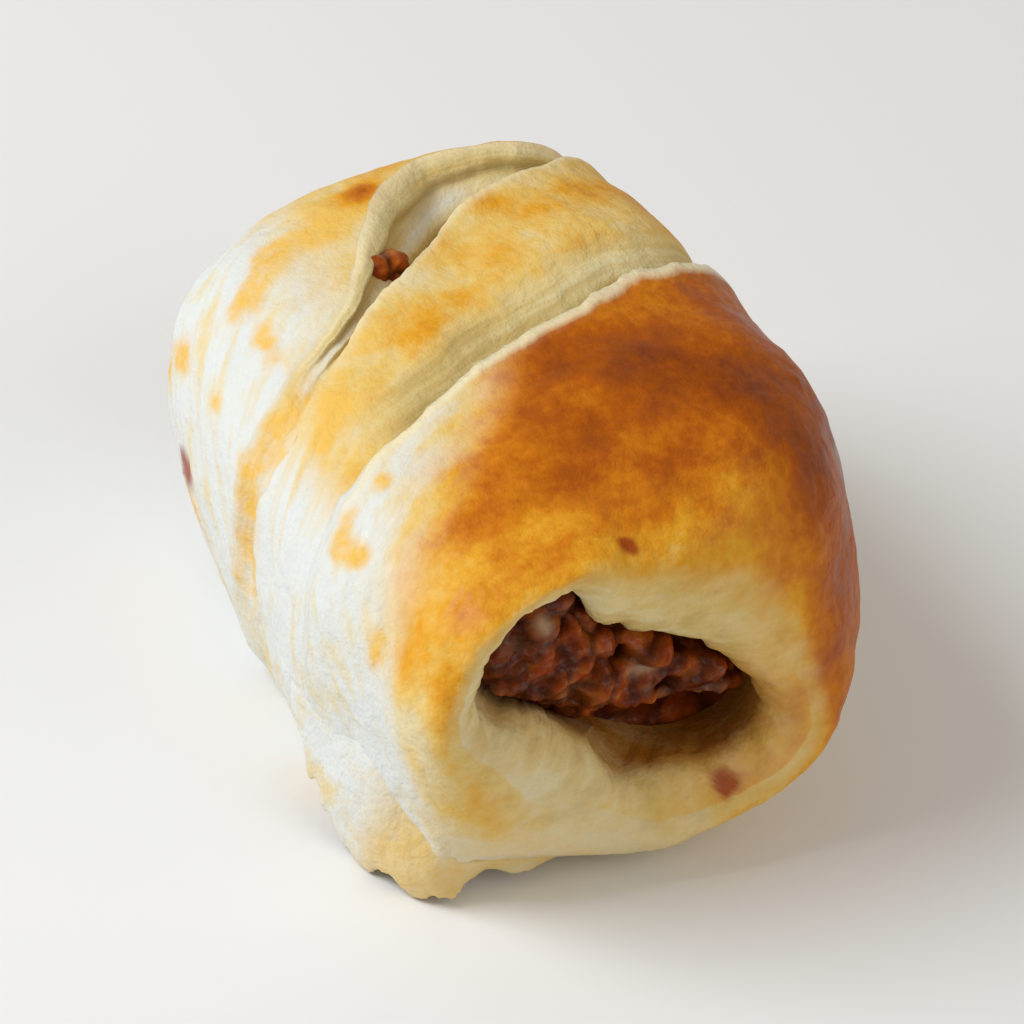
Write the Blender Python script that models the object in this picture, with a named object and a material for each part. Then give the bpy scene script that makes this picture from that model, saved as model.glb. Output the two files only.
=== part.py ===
"""Small party sausage roll: a thick puff pastry wrap, slashed twice across its back, round a core of sausage meat.

Metres, +Z up. The roll lies along Y with its open front end at -Y, and rests on the flat underside of the wrap
at z = 0. Angles round the roll run from the right side (0) over the back (90) and down the left side (180) to
the underside (270, the same as -90).
"""

import math

import bmesh
import bpy
from mathutils import Vector

# Driving dimensions. The body's middle length; its askew ends add about 4 mm to it.
LENGTH = 0.0585
HALF_WIDTH = 0.0243
HALF_HEIGHT = 0.0188
AXIS_HEIGHT = 0.0181  # below HALF_HEIGHT, so that the underside is pressed flat on the tray
TRAY_FILLET = 0.0009  # how softly the sides turn into the flat underside
BANK = math.radians(-12)  # the section leans: its right shoulder stands higher than its left one
LEVEL_BASE = (-88, 34)  # the lean dies out round the underside: degrees of its middle, and spread
SLUMP = 0.0013  # the dough sags this much there
SECTION_POWER = 2.8  # 2 is an ellipse, more is boxier
FRONT_SKEW = (0.10, 0.12)  # each end leans back by these shares of the place to the right, and above the axis
REAR_SKEW = (0.11, -0.02)

# Profile along the roll: how square each end is, lengthwise and outwards.
FRONT_POWERS = (0.88, 0.64)
REAR_POWERS = (0.90, 0.61)
PLAIN_GIRTH = 0.985  # girth away from both lobes, as a share of the section above
LOBE_SWELL = 0.052  # of the front lobe, as a share of the girth
LOBE_MIDDLE = -0.012
LOBE_SPREAD = 0.011
REAR_TAPER = 0.055
TAPER_START = 0.002

# The open ends: the wrap curls in over the edge of the meat.
NOSE_SHARE = 0.34  # where the end stands furthest out, from the mouth (0) to the outside (1)
LIP_DEPTH = 0.0030
GAP = 0.0003  # between wrap and meat
MEAT_RECESS = 0.0021  # the meat's ends lie this far inside the wrap's
MEAT_BLUNT = (0.30, 0.40)  # how flat the meat's ends are, lengthwise and outwards: 1 is a ball's
# The passage at the front and the rear: half width, half height, lean in degrees, middle across, middle height.
FRONT_MOUTH = (0.0162, 0.0071, 33, -0.0014, 0.0192)
REAR_MOUTH = (0.0126, 0.0072, 14, 0.0005, 0.0178)
MOUTH_POWER = 2.2

# Grid of the wrap: segments round the roll, and rows in each stretch of its outside from front to rear.
ROUND_SEGMENTS = 56
ROWS_FRONT = 12
ROWS_BAND = 6
ROWS_GASH = 5
ROWS_REAR = 7
ROWS_LIP = 3
ROWS_BORE = 5
START_RADII = (0.020, 0.005)  # of the torus that the wrap is drawn out from
MEAT_GRID = (40, 18)
CUTTER_GRID = (16, 10)

# Slashes, as degrees round the roll and degrees along its profile, which runs from -90 at the front end to 90 at
# the rear one. Each line is read smoothly between its points. Depths are in metres.
SLASH_LINE = ((-90, -14), (-40, 2), (10, 12), (52, 6), (86, -1.5), (119, -10), (138, -14.5), (170, -22),
              (210, -24), (270, -14))
GASH_NEAR = ((-90, 8), (-40, 30), (0, 47), (45, 49), (63, 42), (91, 32), (115, 20.5), (132, 9.5), (148, 0.5),
             (162, -4.5), (185, -5.5), (200, -6.5), (232, -2), (270, 8))
GASH_FAR = ((-90, 22), (-40, 42), (0, 57), (45, 62), (72, 62), (92, 59), (109, 48), (119, 36), (127, 25),
            (135, 15), (148, 7.5), (165, 2.5), (196, 1.5), (230, 6), (270, 22))
SLASH_DEPTH = ((-90, 0), (0, 0), (25, 0.0009), (50, 0.0020), (85, 0.0021), (118, 0.0014), (140, 0.0002),
               (160, 0), (270, 0))
GASH_DEPTH = ((-90, 0), (-25, 0), (15, 0.0012), (45, 0.0048), (70, 0.0070), (90, 0.0078), (108, 0.0064),
              (120, 0.0046), (134, 0.0019), (150, 0.0011), (190, 0.0009), (228, 0.0002), (270, 0))
OPENED_SPAN = 14  # degrees along the profile that the front slash lays open
OPENED_POWER = 1.5  # above 1, the opened face is hollow
GASH_POWER = 1.4
LIP_SPAN = 1.4  # degrees along the profile, from a slash's lip to the foot of its wall
UNDERCUT = 0.0012  # how far the front slash's wall reaches in under its lip

# Where the gash goes right through to the meat.
HOLE_CENTRE = (-0.0064, 0.0158, 0.0290)
HOLE_RADII = (0.0027, 0.0016, 0.0048)

# Torn end of the pastry seam, low at the front left: places as degrees round and along, then its size.
TAIL_PLACE = (221, -55)
TAIL_SPREAD = (8, 9)
TAIL_FORWARD = 0.0030
TAIL_OUT = 0.0012


def smooth_line(points, x):
    """The value at x of a smooth curve through (x, value) points, held flat past both ends."""
    if x <= points[0][0]:
        return points[0][1]
    for i in range(len(points) - 1):
        (x0, y0), (x1, y1) = points[i], points[i + 1]
        if x > x1:
            continue
        before = points[i - 1] if i > 0 else points[i]
        after = points[i + 2] if i + 2 < len(points) else points[i + 1]
        slope0 = (y1 - before[1]) / (x1 - before[0])
        slope1 = (after[1] - y0) / (after[0] - x0)
        t = (x - x0) / (x1 - x0)
        span = x1 - x0
        return (
            (2 * t**3 - 3 * t**2 + 1) * y0
            + (t**3 - 2 * t**2 + t) * span * slope0
            + (3 * t**2 - 2 * t**3) * y1
            + (t**3 - t**2) * span * slope1
        )
    return points[-1][1]


def mix(a, b, t):
    return a + (b - a) * t


def hump(x, middle, spread):
    """1 at the middle, and dying out over the spread."""
    return math.exp(-(((x - middle) / spread) ** 2))


def superellipse_radius(angle, half_x, half_z, power):
    """Distance from the middle of a superellipse to its edge, at an angle in radians."""
    x = abs(math.cos(angle) / half_x) ** power
    z = abs(math.sin(angle) / half_z) ** power
    return (x + z) ** (-1 / power)


def pressed_flat(z):
    """z after the tray has pressed the underside flat at 0, with a soft turn above it."""
    q = z / TRAY_FILLET
    if q >= 1:
        return z
    return 0.0 if q <= -1 else TRAY_FILLET * (q + 1) ** 2 / 4


def girth(y):
    """How full the roll is along its length: fullest in the front lobe, drawn in towards the rear."""
    rear_taper = REAR_TAPER * max(0.0, (y - TAPER_START) / (LENGTH / 2)) ** 2
    return PLAIN_GIRTH + LOBE_SWELL * hump(y, LOBE_MIDDLE, LOBE_SPREAD) - rear_taper


def outer_point(degrees, y, depth):
    """A point on the outside of the wrap, sunk by depth towards the roll's axis."""
    angle = math.radians(degrees)
    under = hump(degrees if degrees < 180 else degrees - 360, *LEVEL_BASE)
    radius = superellipse_radius(angle + BANK * (1 - under), HALF_WIDTH, HALF_HEIGHT, SECTION_POWER)
    radius = radius * girth(y) + SLUMP * under - depth
    return Vector((radius * math.cos(angle), y, AXIS_HEIGHT + radius * math.sin(angle)))


def mouth_point(degrees, y, shrink=0.0):
    """A point on the oval passage that the meat fills."""
    along = (y + LENGTH / 2) / LENGTH
    width, height, lean, across, up = (mix(front, rear, along) for front, rear in zip(FRONT_MOUTH, REAR_MOUTH))
    angle = math.radians(degrees)
    radius = superellipse_radius(angle + math.radians(lean), width - shrink, height - shrink, MOUTH_POWER)
    return Vector((across + radius * math.cos(angle), y, up + radius * math.sin(angle)))


def settled(point):
    """The point after the ends have been set askew and the underside pressed flat."""
    ahead, skew = (-point.y, FRONT_SKEW) if point.y < 0 else (point.y, REAR_SKEW)
    z = pressed_flat(point.z)
    shift = skew[0] * point.x + skew[1] * (z - AXIS_HEIGHT)
    return Vector((point.x, point.y + shift * ahead / (LENGTH / 2), z))


def profile(along):
    """(y, share) of the outside at an angle along it, where share is how far out it is from mouth to outside."""
    powers = FRONT_POWERS if along < 0 else REAR_POWERS
    alpha = math.radians(along)
    y = math.copysign(LENGTH / 2 * abs(math.sin(alpha)) ** powers[0], alpha)
    return y, NOSE_SHARE + (1 - NOSE_SHARE) * abs(math.cos(alpha)) ** powers[1]


def tail(degrees, along):
    """How much the torn end of the seam stands out there, from 0 to 1."""
    return hump(degrees, TAIL_PLACE[0], TAIL_SPREAD[0]) * hump(along, TAIL_PLACE[1], TAIL_SPREAD[1])


def outside(degrees, along, depth=0.0, forward=0.0):
    """A point on the outside of the wrap, from its degrees round the roll and along the profile."""
    y, share = profile(along)
    torn = tail(degrees, along)
    point = mouth_point(degrees, y).lerp(outer_point(degrees, y, depth - TAIL_OUT * torn), share)
    point = settled(point)
    point.y -= forward + TAIL_FORWARD * torn
    return point


def outside_rows(degrees):
    """All points of the outside at one angle round the roll, from the front end to the rear one."""
    slash, near, far = (smooth_line(line, degrees) for line in (SLASH_LINE, GASH_NEAR, GASH_FAR))
    slash_depth = smooth_line(SLASH_DEPTH, degrees)
    gash_depth = smooth_line(GASH_DEPTH, degrees)
    deepest = max(depth for _, depth in SLASH_DEPTH)
    rows = [outside(degrees, mix(-90, slash, i / ROWS_FRONT)) for i in range(ROWS_FRONT + 1)]
    rows.append(outside(degrees, slash + LIP_SPAN, slash_depth, UNDERCUT * slash_depth / deepest))
    for i in range(1, ROWS_BAND + 1):
        along = mix(slash + LIP_SPAN, near, i / ROWS_BAND)
        opened = max(0.0, 1 - (along - slash) / OPENED_SPAN) ** OPENED_POWER
        rows.append(outside(degrees, along, slash_depth * opened))
    for i in range(ROWS_GASH + 1):
        t = i / ROWS_GASH
        rows.append(outside(degrees, mix(near + LIP_SPAN, far, t), gash_depth * (1 - t**GASH_POWER)))
    rows += [outside(degrees, mix(far, 90, i / ROWS_REAR)) for i in range(1, ROWS_REAR + 1)]
    return rows


def lip_rows(degrees, end):
    """The end's curl inwards, from next to its nose to the passage. end is -1 at the front and 1 at the rear."""
    rows = []
    for i in range(1, ROWS_LIP + 1):
        turn = math.pi / 2 * i / ROWS_LIP
        share = NOSE_SHARE * (1 - math.sin(turn))
        y = end * (LENGTH / 2 - LIP_DEPTH * (1 - math.cos(turn)))
        rows.append(settled(mouth_point(degrees, y).lerp(outer_point(degrees, y, 0), share)))
    return rows


def bore_rows(degrees):
    """The passage, from the rear lip to the front one, without its two ends."""
    reach = LENGTH / 2 - LIP_DEPTH
    return [settled(mouth_point(degrees, mix(reach, -reach, i / ROWS_BORE))) for i in range(1, ROWS_BORE)]


def wall_section(degrees):
    """The closed section through the wrap's wall at one angle round the roll."""
    return outside_rows(degrees) + lip_rows(degrees, 1) + bore_rows(degrees) + lip_rows(degrees, -1)[::-1]


def clear_scene():
    for obj in list(bpy.data.objects):
        bpy.data.objects.remove(obj, do_unlink=True)


def collection(name):
    made = bpy.data.collections.new(name)
    bpy.context.scene.collection.children.link(made)
    return made


def finish(name, colour, roughness):
    """A plain food finish."""
    made = bpy.data.materials.new(name)
    made.use_nodes = True
    shader = made.node_tree.nodes["Principled BSDF"]
    shader.inputs["Base Color"].default_value = (*colour, 1)
    shader.inputs["Roughness"].default_value = roughness
    shader.inputs["Metallic"].default_value = 0
    return made


def take_new_object(name, into):
    """The primitive just added, renamed and moved to its collection."""
    obj = bpy.context.object
    obj.name = name
    obj.data.name = name
    for old in list(obj.users_collection):
        old.objects.unlink(obj)
    into.objects.link(obj)
    return obj


def face_outwards(obj):
    mesh = bmesh.new()
    mesh.from_mesh(obj.data)
    bmesh.ops.recalc_face_normals(mesh, faces=mesh.faces)
    mesh.to_mesh(obj.data)
    mesh.free()
    obj.data.shade_smooth()


def make_wrap(into):
    """The pastry: a torus whose tube becomes the wall's section at each angle round the roll."""
    rows = len(wall_section(0))
    ring, tube = START_RADII
    bpy.ops.mesh.primitive_torus_add(
        major_segments=ROUND_SEGMENTS, minor_segments=rows, major_radius=ring, minor_radius=tube
    )
    wrap = take_new_object("pastry_wrap", into)
    sections = {}
    for vertex in wrap.data.vertices:
        x, y, z = vertex.co
        turn = math.atan2(y, x) % (2 * math.pi)
        segment = round(turn / (2 * math.pi) * ROUND_SEGMENTS) % ROUND_SEGMENTS
        around = math.atan2(z, math.hypot(x, y) - ring) % (2 * math.pi)
        row = round(around / (2 * math.pi) * rows) % rows
        if segment not in sections:
            sections[segment] = wall_section(segment * 360 / ROUND_SEGMENTS - 90)
        vertex.co = sections[segment][row]
    face_outwards(wrap)
    return wrap


def make_meat(into):
    """The sausage meat: a sphere drawn out to fill the passage, with rounded ends set back inside it."""
    bpy.ops.mesh.primitive_uv_sphere_add(segments=MEAT_GRID[0], ring_count=MEAT_GRID[1], radius=1)
    meat = take_new_object("sausage_meat", into)
    reach = LENGTH / 2 - MEAT_RECESS
    for vertex in meat.data.vertices:
        x, y, z = vertex.co
        along = reach * math.copysign(abs(z) ** MEAT_BLUNT[0], z)
        out = math.hypot(x, y) ** MEAT_BLUNT[1]
        middle = mouth_point(0, along).lerp(mouth_point(180, along), 0.5)
        edge = mouth_point(math.degrees(math.atan2(y, x)), along, GAP)
        vertex.co = settled(middle.lerp(edge, out))
    face_outwards(meat)
    return meat


def cut_hole(wrap, into):
    """Opens the deep gash through to the meat with a small egg-shaped cutter."""
    bpy.ops.mesh.primitive_uv_sphere_add(
        segments=CUTTER_GRID[0], ring_count=CUTTER_GRID[1], radius=1, location=HOLE_CENTRE
    )
    cutter = take_new_object("gash_hole_cutter", into)
    cutter.scale = HOLE_RADII
    bpy.context.view_layer.update()
    cutter.hide_render = True
    cutter.display_type = "WIRE"
    cut = wrap.modifiers.new("gash_hole", "BOOLEAN")
    cut.operation = "DIFFERENCE"
    cut.solver = "EXACT"
    cut.object = cutter
    return cutter


def centre_on_base(objects, wrap):
    """Moves everything so that the origin is at the middle of the roll's underside."""
    places = [vertex.co for vertex in wrap.data.vertices]
    middle_x = (min(p.x for p in places) + max(p.x for p in places)) / 2
    middle_y = (min(p.y for p in places) + max(p.y for p in places)) / 2
    for obj in objects:
        obj.location.x -= middle_x
        obj.location.y -= middle_y


def main():
    clear_scene()
    roll = collection("sausage_roll")
    cutters = collection("cutters")
    wrap = make_wrap(roll)
    meat = make_meat(roll)
    wrap.data.materials.append(finish("baked_pastry", (0.72, 0.45, 0.19), 0.5))
    meat.data.materials.append(finish("sausage_meat", (0.16, 0.055, 0.03), 0.45))
    hole = cut_hole(wrap, cutters)
    centre_on_base((wrap, meat, hole), wrap)


main()
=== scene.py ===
"""A small sausage roll on a pale floor: baked puff pastry, torn open in two places, round minced meat."""

import math

import bpy
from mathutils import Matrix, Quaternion, Vector, noise


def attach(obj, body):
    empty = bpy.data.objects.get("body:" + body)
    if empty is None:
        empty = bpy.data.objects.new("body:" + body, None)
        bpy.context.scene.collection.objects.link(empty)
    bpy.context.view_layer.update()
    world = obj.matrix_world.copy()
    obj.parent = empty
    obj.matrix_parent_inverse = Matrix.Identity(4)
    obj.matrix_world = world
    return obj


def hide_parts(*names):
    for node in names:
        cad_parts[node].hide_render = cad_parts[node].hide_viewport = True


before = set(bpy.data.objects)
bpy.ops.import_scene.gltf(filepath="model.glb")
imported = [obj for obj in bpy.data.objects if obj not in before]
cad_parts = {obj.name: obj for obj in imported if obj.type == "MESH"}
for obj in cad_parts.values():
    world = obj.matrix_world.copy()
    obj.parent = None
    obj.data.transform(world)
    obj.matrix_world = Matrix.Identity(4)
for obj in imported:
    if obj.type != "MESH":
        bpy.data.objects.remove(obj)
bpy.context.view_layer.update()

# The roll's own sizes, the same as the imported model's, in metres and degrees.
LENGTH = 0.0585
HALF_WIDTH = 0.0243
HALF_HEIGHT = 0.0188
AXIS_HEIGHT = 0.0181
TRAY_FILLET = 0.0009
BANK = math.radians(-12)
LEVEL_BASE = (-88, 34)
SLUMP = 0.0013
SECTION_POWER = 2.8
FRONT_SKEW = (0.10, 0.12)
REAR_SKEW = (0.11, -0.02)
FRONT_POWERS = (0.88, 0.64)
REAR_POWERS = (0.90, 0.61)
LOBE_SWELL = 0.052
REAR_TAPER = 0.055
NOSE_SHARE = 0.34
LIP_DEPTH = 0.0030
FRONT_MOUTH = (0.0162, 0.0071, 33, -0.0014, 0.0192)
REAR_MOUTH = (0.0126, 0.0072, 14, 0.0005, 0.0178)
MOUTH_POWER = 2.2
SLASH_LINE = ((-90, -14), (-40, 2), (10, 12), (52, 6), (86, -1.5), (119, -8), (131, -11), (142, -13.5),
              (170, -22), (210, -24), (270, -14))
GASH_NEAR = ((-90, 8), (-40, 30), (0, 47), (45, 49), (63, 42), (91, 32), (115, 20.5), (132, 11.5),
             (148, 3), (160, -1.5), (185, -2.5), (200, -4.5), (232, -2), (270, 8))
GASH_FAR = ((-90, 22), (-40, 42), (0, 57), (45, 62), (66, 65), (80, 67), (92, 64), (109, 50),
            (119, 37.5), (127, 26), (135, 16.5), (148, 9.5), (165, 5), (196, 3), (230, 6), (270, 22))
SLASH_DEPTH = ((-90, 0), (0, 0), (25, 0.0010), (50, 0.0025), (85, 0.0030), (112, 0.0027), (130, 0.0016),
               (146, 0.0004), (160, 0), (270, 0))
GASH_DEPTH = ((-90, 0), (-25, 0), (15, 0.0012), (45, 0.0048), (70, 0.0070), (90, 0.0078), (108, 0.0064),
              (120, 0.0046), (134, 0.0019), (150, 0.0011), (190, 0.0009), (228, 0.0002), (270, 0))
SLASH_DEEPEST = max(depth for degrees, depth in SLASH_DEPTH)
GASH_DEEPEST = max(depth for degrees, depth in GASH_DEPTH)
OPENED_SPAN = 14
LIP_SPAN = 1.4
LIFT_SPAN = 5
SLASH_LIFT = 0.0004
GASH_LIFT = 0.0005
SLASH_UNDERCUT = 0.0015
GASH_UNDERCUT = 0.0007
TAIL_PLACE = (221, -55)
TAIL_SPREAD = (8, 9)
TAIL_FORWARD = 0.0014
TAIL_OUT = 0.0012
# Where the passage stops being a plain oval and takes the front's torn outline, along the roll.
TORN_FROM = (-0.0205, -0.0265)

# The torn edge of the front opening: degrees round its own middle, and distance from it in millimetres.
MOUTH_MIDDLE = (-0.0056, 0.0206)
MOUTH_EDGE = ((-7, 14.5), (0, 12.5), (10, 9.8), (23, 7.5), (38, 6.0), (54, 4.8), (72, 4.9), (90, 5.5),
              (102, 6.8), (109, 9.4), (116, 11.2), (124, 11.4), (132, 12.0), (142, 13.3), (152, 13.5),
              (163, 12.7), (173, 12.3), (182, 11.5), (190, 9.6), (198, 7.0), (212, 5.2), (232, 4.7),
              (253, 5.0), (274, 6.6), (283, 8.7), (291, 10.4), (303, 12.3), (313, 14.2), (323, 16.8),
              (331, 18.7), (337, 18.9), (343, 18.0), (350, 15.8), (353, 14.5), (360, 12.5), (370, 9.8))

# Where the front's brown crust gives way to the pale flank: degrees along, degrees round.
BROWN_BORDER = ((-90, 232), (-72, 224), (-62, 204), (-55, 182), (-49, 166), (-40, 155), (-30, 141),
                (-22, 131), (-14, 121), (0, 112))
# How brown the front is down its length, inside that border: degrees along, share.
FRONT_LEVEL = ((-90, 0.20), (-82, 0.30), (-70, 0.38), (-55, 0.46), (-42, 0.52), (-26, 0.58),
               (-10, 0.58))

# Browner patches of the crust: degrees round, degrees along, spread each way, and how much browner.
FRONT_PATCHES = ((76, -19, 14, 10, 0.20), (62, -30, 10, 12, 0.17), (46, -44, 12, 16, 0.18),
                 (98, -12, 12, 5, 0.12), (84, -44, 9, 6, 0.10), (112, -40, 9, 8, 0.08),
                 (20, -62, 26, 22, 0.24), (-8, -80, 20, 16, 0.20), (124, -50, 12, 8, -0.06),
                 (60, -58, 10, 5, -0.06), (206, -66, 26, 18, -0.32), (20, -20, 26, 20, 0.20),
                 (150, -50, 13, 10, -0.25), (178, -60, 18, 13, -0.26), (100, -30, 6, 5, 0.10),
                 (88, -60, 7, 4, 0.08))
REAR_PATCHES = ((112, 54, 7, 8, 0.48), (100, 70, 12, 6, 0.14), (60, 75, 30, 12, 0.22),
                (10, 60, 30, 22, 0.26), (126, 44, 7, 8, 0.10))
BAND_PATCHES = ((62, 30, 9, 5, 0.20), (76, 24, 9, 4, 0.16), (92, 16, 8, 4, 0.15), (110, 10, 8, 3, 0.13),
                (122, 5, 8, 3, 0.14), (134, 3, 6, 4, 0.07), (36, 30, 14, 12, 0.22),
                (86, 31, 9, 3, 0.14))
# Golden flecks on the pale dough: degrees round, degrees along, spread each way.
FLECKS = ((140, 45, 6, 6), (145, 40, 4, 6), (150, 35, 5, 5), (151, 20, 3, 6), (128, 44, 9, 7),
          (146, -1, 5, 4), (134, 8, 5, 3), (152, -5, 4, 3), (157, -21, 3, 2), (160, -25, 3, 4),
          (158, -29, 2, 2), (147, -20, 2, 2), (172, 46, 4, 7), (170, -42, 5, 3), (215, -20, 8, 6),
          (205, 30, 7, 8), (185, 60, 8, 5), (168, 22, 2, 3))
# Small dark spots where meat juice has cooked: their places, then their radius, in metres.
SPOTS = ((-0.0048, -0.0264, 0.0336, 0.0008), (0.0080, -0.0295, 0.0089, 0.0013),
         (-0.0222, 0.0150, 0.0127, 0.0016), (0.0215, 0.0040, 0.0160, 0.0009),
         (0.0120, 0.0260, 0.0240, 0.0010))
# The lump of meat wedged in the gash: its middle, in metres, and its half sizes, in millimetres.
GASH_MEAT = (-0.0084, 0.0148, 0.0309)
GASH_MEAT_SIZE = (3.3, 2.3, 2.9)

# How far the meat stops short of the roll's ends and presses into the wrap, and how fine its mesh is.
MEAT_SHORT = 0.0022
MEAT_PRESS = 0.0003
MEAT_VOXEL = 0.00032
# Lumps and hollows of the meat's front end: place across and up, radius, height or depth, in millimetres.
MEAT_LUMPS = ((-15.2, 23.7, 2.4, 0.9), (-11.5, 25.3, 2.6, 1.3), (-9.8, 28.7, 1.7, 1.4),
              (-14.2, 27.9, 1.4, 0.9), (-7.4, 23.1, 2.0, 1.2), (-4.6, 19.1, 2.3, 1.5),
              (0.2, 21.6, 1.7, 1.7), (6.0, 18.5, 2.0, 1.4), (-9.0, 20.9, 1.6, 0.7),
              (-1.6, 16.9, 1.5, 0.8), (10.0, 15.1, 1.5, 0.5), (-12.6, 21.5, 1.5, 0.6),
              (3.3, 19.9, 1.1, 0.8), (8.0, 16.3, 1.2, 0.8))
MEAT_PITS = ((-2.8, 21.7, 1.3, 2.0), (2.4, 17.3, 1.5, 1.8), (3.0, 21.5, 0.8, 1.4),
             (-9.2, 25.9, 0.9, 1.2), (9.0, 17.7, 0.9, 1.1), (-13.2, 25.7, 0.8, 0.8),
             (-5.6, 21.1, 0.7, 1.0))

SHEET_THICK = 0.0009
SHEET_VOXEL = 0.00022
SHEET_BULGE = 0.0009
SHEET_LOWEST = 0.0005
# The sheet of torn dough at the seam's end. Each row is where it leaves the wrap, in degrees round and
# along, then its free edge, in millimetres.
SHEET = ((186, -12, -23.4, -11.0, 8.6), (189, -21, -22.9, -14.0, 5.4), (192, -30, -22.2, -17.2, 2.4),
         (195, -38, -21.4, -20.8, 0.7), (199, -45, -20.2, -24.4, 0.6), (205, -51, -18.6, -27.2, 0.6),
         (213, -56, -16.4, -29.3, 0.6), (222, -60, -14.2, -27.9, 1.2), (232, -61, -12.2, -27.6, 2.4),
         (243, -60, -9.4, -27.7, 1.3), (252, -60, -6.6, -27.2, 1.8), (262, -60, -3.6, -26.0, 2.4))

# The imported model's origin is at the middle of its underside: how far that is across and along from the
# roll's own axis.
MIDDLE = (-0.000014, -0.000192)

# The crust's relief: how many lumps in a metre, and their height in metres.
CRUST_LUMPS = (95, 0.00050)
CRUST_DIMPLES = (240, 0.00022)
CRUST_BLISTERS = (300, 0.0012)
CRUST_WRINKLES = ((520, 360, 520), 0.00013)
CRUST_GRAIN = (640, 0.00010)
FLANK_STREAKS = ((1, 0.00022), (2.3, 0.00011))
FLANK_LEAVES = (0.0060, 0.00016)
# The wrap's direction of pull on the left flank, as its shares along and up.
PULL = (0.66, 0.75)

# Colours: the crust by how far it is baked, the torn leaves and the meat by their own grain, then the rest.
CRUST_COLOURS = (
    (0.00, (0.76, 0.63, 0.36)),
    (0.16, (0.78, 0.52, 0.14)),
    (0.32, (0.76, 0.36, 0.022)),
    (0.46, (0.62, 0.20, 0.006)),
    (0.62, (0.42, 0.094, 0.0015)),
    (0.90, (0.17, 0.027, 0.0008)),
)
LEAF_COLOURS = ((0.30, (0.52, 0.37, 0.13)), (0.45, (0.66, 0.50, 0.20)), (0.62, (0.76, 0.66, 0.36)))
MEAT_COLOURS = ((0.30, (0.17, 0.022, 0.002)), (0.50, (0.34, 0.058, 0.004)), (0.68, (0.56, 0.145, 0.014)))
# The flank's white is partly the pale dough's own colour and partly a painted cool sheen of the window
# light.
FLANK_WHITE_AND_SHEEN = (0.71, 0.735, 0.71)
FLECK_GOLD = (0.82, 0.50, 0.10)
# Painted shade: the dark brown laid into the torn places' creases, under their lips and between their
# leaves.
CREASE_SHADE = (0.24, 0.155, 0.045)
RIM_CREAM = (0.82, 0.72, 0.46)
SOAKED_BROWN = (0.36, 0.125, 0.008)
SPOT_RED = (0.32, 0.042, 0.004)
# Painted shade: near black laid into the hollows between the meat's lumps.
PIT_SHADE = (0.030, 0.005, 0.001)
FAT_WHITE = (0.52, 0.33, 0.20)
FLOOR_WHITE = (0.88, 0.89, 0.90)
SKY_WARM = (1.0, 0.94, 0.86)
BACKDROP_WHITE = (0.93, 0.93, 0.92)

# The lamps face LIT_AT. The view: degrees round, up and rolled, then, in metres, how far off it is, what it
# aims at, how far the picture is moved right and up, and how wide it is at that distance.
LIT_AT = (0, 0, 0.018)
VIEW_ROUND, VIEW_UP, VIEW_ROLL = -33, 36, 13
VIEW_AWAY = 1.1
VIEW_AIM = (0, 0, 0.0193)
VIEW_SHIFT = (0.0002, 0.00235)
VIEW_WIDTH = 0.0855
SENSOR = 36

# Steps to a full turn round the wrap. Blender's torus has at most 256 segments, so the steps run from below
# up the right side and down to the lower left, and one wide strip closes the rest.
ROUND = 288
SEGMENTS = 256
# Rings of the fine wrap, front to rear and back through the passage: the stretch, and how far along it.
RINGS = (
    [("front", i / 84) for i in range(85)]
    + [("slash wall", i / 5) for i in range(1, 6)]
    + [("band", i / 38) for i in range(1, 39)]
    + [("gash wall", i / 8) for i in range(1, 9)]
    + [("gash face", i / 26) for i in range(1, 27)]
    + [("rear", i / 46) for i in range(1, 47)]
    + [("rear lip", i / 10) for i in range(1, 11)]
    + [("passage", i / 12) for i in range(1, 12)]
    + [("front lip", 1 - i / 22) for i in range(22)]
)


def smooth_line(points, x):
    """The value at x of a smooth curve through (x, value) points."""
    if x <= points[0][0]:
        return points[0][1]
    for i in range(len(points) - 1):
        (x0, y0), (x1, y1) = points[i], points[i + 1]
        if x > x1:
            continue
        before = points[i - 1] if i > 0 else points[i]
        after = points[i + 2] if i + 2 < len(points) else points[i + 1]
        slope0 = (y1 - before[1]) / (x1 - before[0])
        slope1 = (after[1] - y0) / (after[0] - x0)
        t = (x - x0) / (x1 - x0)
        span = x1 - x0
        return (
            (2 * t**3 - 3 * t**2 + 1) * y0
            + (t**3 - 2 * t**2 + t) * span * slope0
            + (3 * t**2 - 2 * t**3) * y1
            + (t**3 - t**2) * span * slope1
        )
    return points[-1][1]


def mix(a, b, t):
    return a + (b - a) * t


def ease(low, high, x):
    """0 below low, 1 above high, and a soft step between them. low may be the larger one."""
    t = min(1.0, max(0.0, (x - low) / (high - low)))
    return t * t * (3 - 2 * t)


def hump(x, middle, spread):
    return math.exp(-(((x - middle) / spread) ** 2))


def hump_round(degrees, middle, spread):
    """A hump at one angle round the roll, the same from either side of the join."""
    return hump((degrees - middle + 180) % 360 - 180, 0, spread)


def superellipse_radius(angle, half_x, half_z, power):
    x = abs(math.cos(angle) / half_x) ** power
    z = abs(math.sin(angle) / half_z) ** power
    return (x + z) ** (-1 / power)


def pressed_flat(z):
    q = z / TRAY_FILLET
    if q >= 1:
        return z
    return 0.0 if q <= -1 else TRAY_FILLET * (q + 1) ** 2 / 4


def girth(y):
    front_lobe = LOBE_SWELL * math.exp(-(((y + 0.012) / 0.011) ** 2))
    rear_taper = REAR_TAPER * max(0.0, (y - 0.002) / (LENGTH / 2)) ** 2
    return 0.985 + front_lobe - rear_taper


def outer_point(degrees, y, depth):
    angle = math.radians(degrees)
    under = hump(degrees if degrees < 180 else degrees - 360, *LEVEL_BASE)
    radius = superellipse_radius(angle + BANK * (1 - under), HALF_WIDTH, HALF_HEIGHT, SECTION_POWER)
    radius = radius * girth(y) + SLUMP * under - depth
    return Vector((radius * math.cos(angle), y, AXIS_HEIGHT + radius * math.sin(angle)))


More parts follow.
